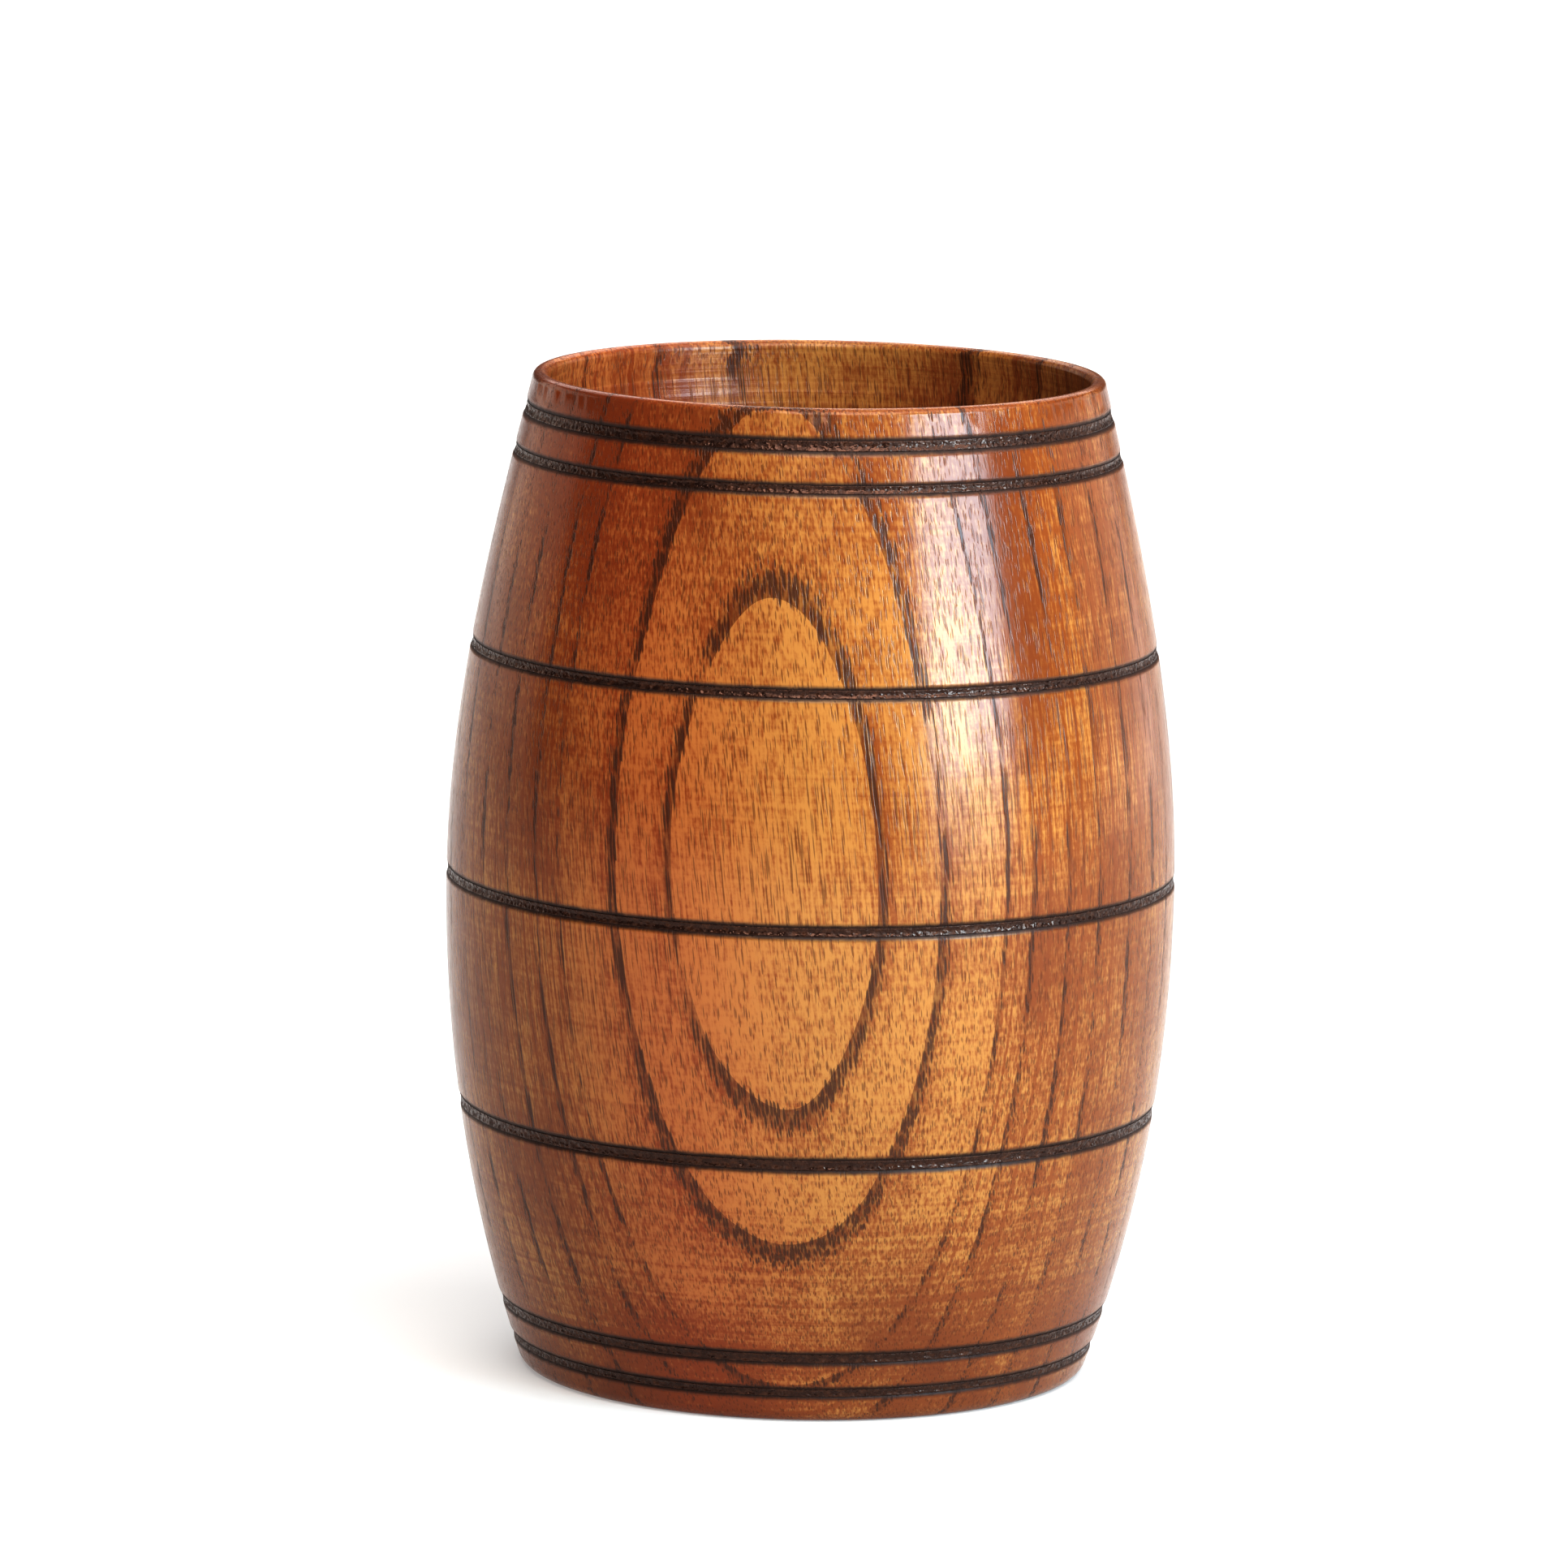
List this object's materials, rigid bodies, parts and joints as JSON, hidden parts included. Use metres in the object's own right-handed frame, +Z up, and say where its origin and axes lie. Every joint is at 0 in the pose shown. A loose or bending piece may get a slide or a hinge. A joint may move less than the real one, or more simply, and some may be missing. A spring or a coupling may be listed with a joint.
{
  "type": "wooden barrel cup",
  "caption": "Barrel-shaped wooden drinking cup without a handle, turned from one block, with dark scorched lines lying in turned grooves round its side.",
  "frame": {"origin": "centre of the flat base, on the turning axis", "axes": "+Z up along the turning axis, -Y towards the side with the oval grain figure"},
  "size_m": [0.0654, 0.0654, 0.09],
  "materials": {
    "lacquered_wood": "orange-brown open-pored wood with an oval grain figure, under clear satin-gloss lacquer",
    "scorched_wood": "dark, gritty scorched wood under clear lacquer"
  },
  "bodies": {
    "root": {"turned_body": "lacquered_wood", "upper_rim_line": "scorched_wood", "lower_rim_line": "scorched_wood", "shoulder_line": "scorched_wood", "belly_line": "scorched_wood", "waist_line": "scorched_wood", "upper_foot_line": "scorched_wood", "lower_foot_line": "scorched_wood"}
  },
  "joints": []
}
